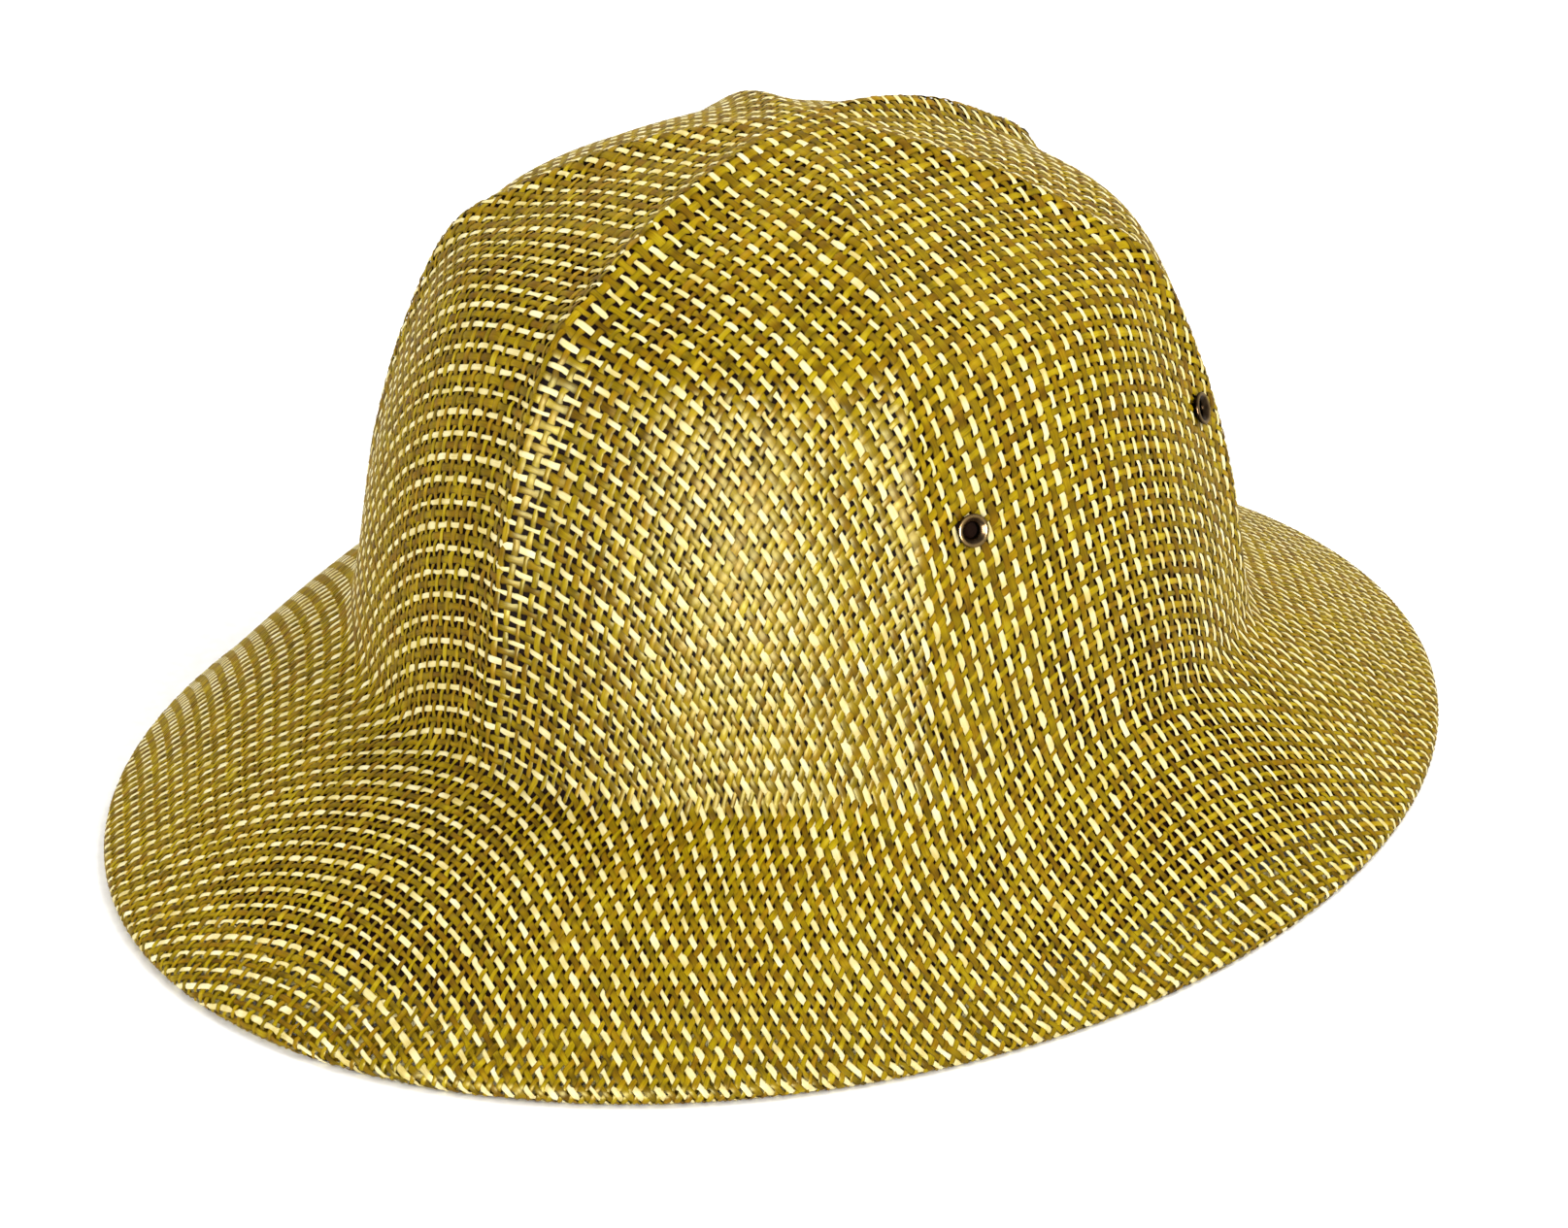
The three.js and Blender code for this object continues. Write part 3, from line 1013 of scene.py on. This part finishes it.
@dataclass(frozen=True)
class StrawCloth:
    """The shell's cloth: a plain weave of tan strips lengthwise, and tan and cream by turns crosswise.

    The strips lie at depth under the form's skin, rise or sink by rise at each crossing, and stay
    level there for flat_share of the crossing strips' pitch to either side. Uneven shares, waves and
    jitter make them look laid by hand. The inner face lies between two depths under the skin, down
    to the place face_end on the brim.
    """

    cloth: PulledCloth
    eyelets: tuple[VentEyelet, ...]
    lengthwise_pitch: float = 2.26
    crosswise_pitch: float = 2.12
    olive_width: float = 1.36
    brown_width: float = 1.62
    cream_width: float = 1.2
    thickness: float = 0.22
    rise: float = 0.12
    depth: float = 0.3
    flat_share: float = 0.34
    uneven_strips: float = 0.1
    uneven_dashes: float = 0.14
    narrowest: float = 0.62
    widest: float = 1.45
    wander: float = 0.06
    jitter: float = 0.08
    short_waves: tuple[float, float] = (9.0, 16.0)
    short_share: float = 0.5
    long_waves: tuple[float, float] = (25.0, 60.0)
    long_share: float = 0.6
    face_outer: float = 0.85
    face_inner: float = 1.85
    face_end: float = 12.6
    face_rows: int = 84
    face_columns: int = 264
    seed: int = 8

    def run(self, way: StripWay) -> StripRun:
        """Lay every strip of one direction on the form.

        Args:
            way: Direction of the strips.

        Returns:
            The strips' points in order.
        """
        lengthwise = way is StripWay.LENGTHWISE
        pitch, other = self.lengthwise_pitch, self.crosswise_pitch
        if not lengthwise:
            pitch, other = other, pitch
        longest = self.cloth.reach.max()
        strips = np.arange(-int(longest / pitch), int(longest / pitch) + 1)
        crossings = np.arange(-int(longest / other), int(longest / other) + 1)
        rng = np.random.default_rng(self.seed + (0 if lengthwise else 1))
        strip, crossing = (g.ravel() for g in np.meshgrid(strips, crossings, indexing="ij"))
        strip, crossing = np.repeat(strip, 2), np.repeat(crossing, 2)
        dash_aside, dash_width = rng.normal(0, 1, (2, len(strip) // 2)).repeat(2, axis=1)
        part = np.tile([-self.flat_share, self.flat_share], len(strip) // 2)
        along = (crossing + 0.5 + part) * other
        waves = self.waves(rng, len(strips), strip - strips[0], along)
        aside = (strip + 0.5) * pitch + self.wander * waves[0] + self.jitter * dash_aside
        u, v = (aside, along) if lengthwise else (along, aside)
        place, angle, distance, left_over = self.cloth.lay(u, v)
        laid = left_over > 0
        form = self.cloth.form
        place, angle, strip, along = place[laid], angle[laid], strip[laid], along[laid]
        normal = form.outward(form.skin, place, angle)
        centre = form.skin(place, angle) - normal * self.depth
        over = (strip + crossing[laid] + (0 if lengthwise else 1)) % 2 == 0
        width_of = rng.normal(1, self.uneven_strips, len(strips))[strip - strips[0]]
        width_of = width_of + self.uneven_strips * waves[1][laid] + self.uneven_dashes * dash_width[laid]
        width_of = np.clip(width_of, self.narrowest, self.widest)
        tan_width = self.olive_width if lengthwise else self.brown_width
        tan_width = tan_width * self.cloth.column("tan_width", distance[laid])
        cream = (strip % 2 == 0) & (not lengthwise)
        half_width = width_of * np.where(cream, self.cream_width, tan_width) / 2
        shade = rng.random(len(strips))[strip - strips[0]]
        near = np.flatnonzero(laid)
        joined = (np.diff(strip) == 0) & (np.diff(near) == 1)
        joined &= ~self.punched((centre[1:] + centre[:-1]) / 2)
        lift = np.where(over, self.rise, -self.rise)
        return StripRun(centre, normal, along, strip, lift, half_width, shade, joined)

    def waves(self, rng: np.random.Generator, count: int, index: np.ndarray,
              along: np.ndarray) -> list[np.ndarray]:
        """Draw two slow waves along each strip, for its path and for its width.

        Args:
            rng: Source of random numbers.
            count: How many strips there are.
            index: Number of each point's strip.
            along: Place of each point along its strip.

        Returns:
            Two arrays of values from about -1 to 1.
        """
        made = []
        for _ in range(2):
            short = rng.uniform(*self.short_waves, count)[index]
            long = rng.uniform(*self.long_waves, count)[index]
            first, second = rng.uniform(0, 2 * math.pi, (2, count))[:, index]
            made.append(self.short_share * np.sin(2 * math.pi * along / short + first)
                        + self.long_share * np.sin(2 * math.pi * along / long + second))
        return made

    def punched(self, points: np.ndarray) -> np.ndarray:
        """Say which points fall in the holes that the eyelets are set in.

        Args:
            points: Points of the cloth.

        Returns:
            True for each point in a hole.
        """
        inside = np.zeros(len(points), bool)
        for eyelet in self.eyelets:
            seat, normal = self.cloth.form.seat(eyelet.height, eyelet.degrees)
            offset = points - seat
            depth = offset @ normal
            away = np.linalg.norm(offset - depth[:, None] * normal, axis=1)
            inside |= (np.abs(depth) < eyelet.punched_depth) & (away < eyelet.punched_radius)
        return inside

    def piece(self, name: str, run: StripRun, pick: np.ndarray, finish: StrawFinish) -> bpy.types.Object:
        """Make one piece of the cloth.

        Args:
            name: Name of the piece.
            run: Strips of one direction.
            pick: Which of their points belong to the piece.
            finish: Finish of the straw.

        Returns:
            The piece, which stands for the shell's solid with the others.
        """
        vertices, faces, marks = run.ribbons(pick, self.thickness)
        piece = new_piece(name, vertices, faces, finish.material())
        mesh = piece.data
        strip = mesh.attributes.new("strip", "FLOAT_VECTOR", "POINT")
        strip.data.foreach_set("vector", marks.astype(np.float32).ravel())
        ends = np.zeros(len(mesh.edges) * 2, np.int32)
        mesh.edges.foreach_get("vertices", ends)
        lanes = ends.reshape(-1, 2) % RIBBON_CORNERS
        edge = (lanes[:, 0] == lanes[:, 1]) & (lanes[:, 0] != RIDGE_CORNER)
        sharp = mesh.attributes.new("sharp_edge", "BOOLEAN", "EDGE")
        sharp.data.foreach_set("value", edge)
        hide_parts(SHELL_NODE)
        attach(piece, BODY)
        return piece

    def inner_face(self, finish: InnerFaceFinish) -> bpy.types.Object:
        """Make the inner face, a thin closed skin behind the strips that ends just above the hem's cut edge.

        Args:
            finish: Finish of the face.

        Returns:
            The piece, which stands for the shell's solid with the strips.
        """
        form = self.cloth.form
        # The rows are spaced evenly down the diagonal between the front and the wearer's left
        diagonal = self.cloth.reach[:, self.cloth.angle_steps // 8]
        known = np.linspace(0, form.last, len(diagonal))
        end = np.interp(self.face_end, known, diagonal)
        rows = np.interp(np.linspace(0, end, self.face_rows + 1)[1:], diagonal, known)
        turns = np.linspace(0, 2 * math.pi, self.face_columns, endpoint=False)
        place, angle = np.meshgrid(rows, turns, indexing="ij")
        normal = form.outward(form.skin, place, angle)
        skin = form.skin(place, angle)
        sides = [skin - normal * self.face_outer, (skin - normal * self.face_inner)[::-1]]
        apex = form.skin(np.array(0.0), np.array(0.0))
        ends = [apex - np.array([0, 0, depth]) for depth in (self.face_outer, self.face_inner)]
        vertices = np.vstack([np.concatenate(sides).reshape(-1, 3), ends])
        count = self.face_columns
        ring, column = np.meshgrid(np.arange(2 * self.face_rows - 1), np.arange(count), indexing="ij")
        beside = (column + 1) % count
        quads = np.stack([ring * count + column, (ring + 1) * count + column,
                          (ring + 1) * count + beside, ring * count + beside], axis=-1).reshape(-1, 4)
        around, last = np.arange(count), (2 * self.face_rows - 1) * count
        following = (around + 1) % count
        caps = np.concatenate([
            np.stack([np.full(count, len(vertices) - 2), around, following], axis=1),
            np.stack([np.full(count, len(vertices) - 1), last + following, last + around], axis=1)])
        piece = new_piece("straw_inner_face", vertices, [quads, caps], finish.material(
            (self.lengthwise_pitch, self.crosswise_pitch), (self.olive_width, self.brown_width)))
        column_of = angle / (2 * math.pi) * self.cloth.angle_steps
        distance = interpolate(self.cloth.reach, place * self.cloth.place_steps, column_of)
        u, v = self.cloth.unfold(distance, angle)
        # The third mark is 0 on the side towards the strips, painted as shade, and 1 inside
        flat = [np.stack([u, v, np.zeros_like(u)], axis=-1),
                np.stack([u, v, np.ones_like(u)], axis=-1)[::-1]]
        marks = np.vstack([np.concatenate(flat).reshape(-1, 3), [(0, 0, 0), (0, 0, 1)]])
        piece.data.attributes.new("cloth", "FLOAT_VECTOR", "POINT").data.foreach_set(
            "vector", marks.astype(np.float32).ravel())
        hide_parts(SHELL_NODE)
        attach(piece, BODY)
        return piece

    def build(self) -> list[bpy.types.Object]:
        """Weave the cloth.

        Returns:
            The four pieces of strips and the inner face.
        """
        lengthwise = self.run(StripWay.LENGTHWISE)
        crosswise = self.run(StripWay.CROSSWISE)
        cream = crosswise.strip % 2 == 0
        return [
            self.piece("straw_lengthwise_right", lengthwise, lengthwise.strip < 0, OLIVE_STRAW),
            self.piece("straw_lengthwise_left", lengthwise, lengthwise.strip >= 0, OLIVE_STRAW),
            self.piece("straw_crosswise_brown", crosswise, ~cream, BROWN_STRAW),
            self.piece("straw_crosswise_cream", crosswise, cream, CREAM_STRAW),
            self.inner_face(SIZED_CLOTH_AND_GAP_SHADE),
        ]


class LightUse(Enum):
    """What a studio light does: it lights the matt part of a surface, or shows in its gloss."""

    FILL = "fill"
    SHINE = "shine"


@dataclass(frozen=True)
class SoftLight:
    """One rectangular studio light that faces the helmet, with its angles in degrees."""

    name: str
    azimuth: float
    elevation: float
    distance: float
    width: float
    height: float
    watts: float
    use: LightUse = LightUse.FILL


@dataclass(frozen=True)
class Studio:
    """Floor, lights and the camera at the photograph's angle. Distances here are in metres."""

    floor_size: float = 8.0
    camera_azimuth: float = 40.516
    camera_elevation: float = 25.997
    camera_distance: float = 1.3
    aim_height: float = 0.035853
    aim_aside: float = -0.000573
    image_width: float = 1615.0
    focal_pixels: float = 5934.79
    sensor_width: float = 36.0
    lights: tuple[SoftLight, ...] = (
        SoftLight("front_window", 27, 11, 1.7, 0.5, 0.95, 11.5),
        SoftLight("right_key", 88, 32, 1.8, 1.0, 1.0, 14),
        SoftLight("crown_right", 130, 58, 0.9, 0.5, 0.5, 5.8),
        SoftLight("crown_left", 250, 50, 0.9, 0.5, 0.5, 3),
        SoftLight("left_fill", -50, 13, 2.4, 1.2, 1.2, 25),
        SoftLight("highlight", 27, 9, 1.7, 0.7, 1.2, 185, LightUse.SHINE),
    )
    lights_aim: float = 0.06
    world: str = "#FFFFFF"
    world_strength: float = 0.48

    @staticmethod
    def direction(azimuth: float, elevation: float) -> Vector:
        """Give the unit vector from the helmet towards an azimuth and elevation in degrees."""
        a, e = math.radians(azimuth), math.radians(elevation)
        return Vector((math.sin(a) * math.cos(e), -math.cos(a) * math.cos(e), math.sin(e)))

    def build(self) -> None:
        """Set up the floor, the lights and the camera."""
        half = self.floor_size / 2 / MM
        corners = np.array([(-half, -half, 0), (half, -half, 0), (half, half, 0), (-half, half, 0)], float)
        floor = new_piece("floor", corners, [np.array([[0, 1, 2, 3]])], STUDIO_PAPER.material())
        floor.visible_glossy = False
        middle = Vector((0, 0, self.lights_aim))
        for light in self.lights:
            lamp = bpy.data.lights.new(light.name, "AREA")
            lamp.shape = "RECTANGLE"
            lamp.size, lamp.size_y = light.width, light.height
            lamp.energy = light.watts
            stand = bpy.data.objects.new(light.name, lamp)
            towards = self.direction(light.azimuth, light.elevation)
            stand.location = middle + towards * light.distance
            stand.rotation_euler = (-towards).to_track_quat("-Z", "Y").to_euler()
            stand.visible_camera = False
            stand.visible_diffuse = light.use is LightUse.FILL
            stand.visible_glossy = light.use is LightUse.SHINE
            bpy.context.scene.collection.objects.link(stand)
        world = bpy.data.worlds.new("studio")
        world.use_nodes = True
        background = world.node_tree.nodes["Background"]
        background.inputs["Color"].default_value = linear(self.world)
        background.inputs["Strength"].default_value = self.world_strength
        bpy.context.scene.world = world
        # Plain sRGB, as the photograph has it
        bpy.context.scene.view_settings.view_transform = "Standard"
        self.place_camera()

    def place_camera(self) -> None:
        """Put the camera where the photograph was taken from."""
        data = bpy.data.cameras.new("camera")
        data.sensor_fit = "HORIZONTAL"
        data.sensor_width = self.sensor_width
        data.lens = self.focal_pixels / self.image_width * self.sensor_width
        camera = bpy.data.objects.new("camera", data)
        turn = math.radians(self.camera_azimuth)
        aim = Vector((math.cos(turn), math.sin(turn), 0)) * self.aim_aside
        aim += Vector((0, 0, self.aim_height))
        towards = self.direction(self.camera_azimuth, self.camera_elevation)
        camera.location = aim + towards * self.camera_distance
        camera.rotation_euler = (-towards).to_track_quat("-Z", "Y").to_euler()
        bpy.context.scene.collection.objects.link(camera)
        bpy.context.scene.camera = camera


EYELETS = (
    VentEyelet("eyelet_left_front", 65),
    VentEyelet("eyelet_left_rear", 117.5),
    VentEyelet("eyelet_right_rear", 242.5),
    VentEyelet("eyelet_right_front", 295),
)


def main() -> None:
    """Build the studio, the eyelets and the cloth, and report each piece."""
    logging.basicConfig(level=logging.INFO, format="%(name)s %(message)s")
    Studio().build()
    form = HelmetForm()
    pieces = [eyelet.build(form, ANTIQUE_BRASS) for eyelet in EYELETS]
    pieces += StrawCloth(PulledCloth(form), EYELETS).build()
    for piece in pieces:
        report(piece)


if __name__ == "__main__":
    main()
